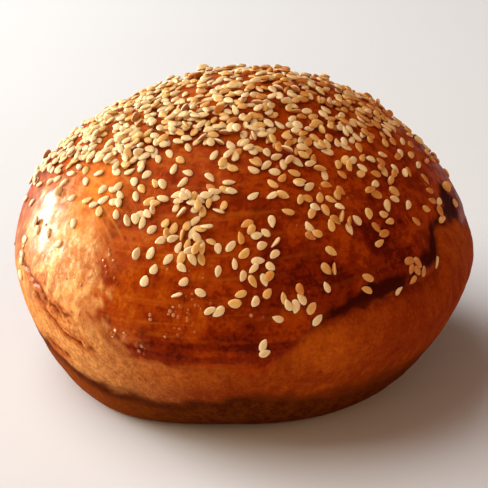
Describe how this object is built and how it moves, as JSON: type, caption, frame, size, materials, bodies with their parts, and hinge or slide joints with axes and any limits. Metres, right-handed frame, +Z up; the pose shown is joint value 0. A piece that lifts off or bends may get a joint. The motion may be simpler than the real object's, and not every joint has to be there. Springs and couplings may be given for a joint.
{
  "type": "cheese bread ball",
  "caption": "Round, high bread ball with a glossy glazed crown, a plain lower side and a flat base, with sesame seeds baked onto the crown.",
  "frame": {"origin": "middle of the flat base that the bun rests on", "axes": "+Z up through the crown, -Y towards the front that the picture shows, +X to the right of that front"},
  "size_m": [0.1094, 0.1111, 0.0701],
  "materials": {
    "crust": "baked crust: a glossy, mottled reddish-brown glaze on the crown, a dull golden-brown lower side and a darker under-curve",
    "pale_seed": "dull, waxy cream sesame seed",
    "golden_seed": "dull, golden baked sesame seed",
    "toasted_seed": "dull, orange-brown toasted sesame seed"
  },
  "bodies": {
    "root": {"bun": "crust"}
  },
  "joints": []
}
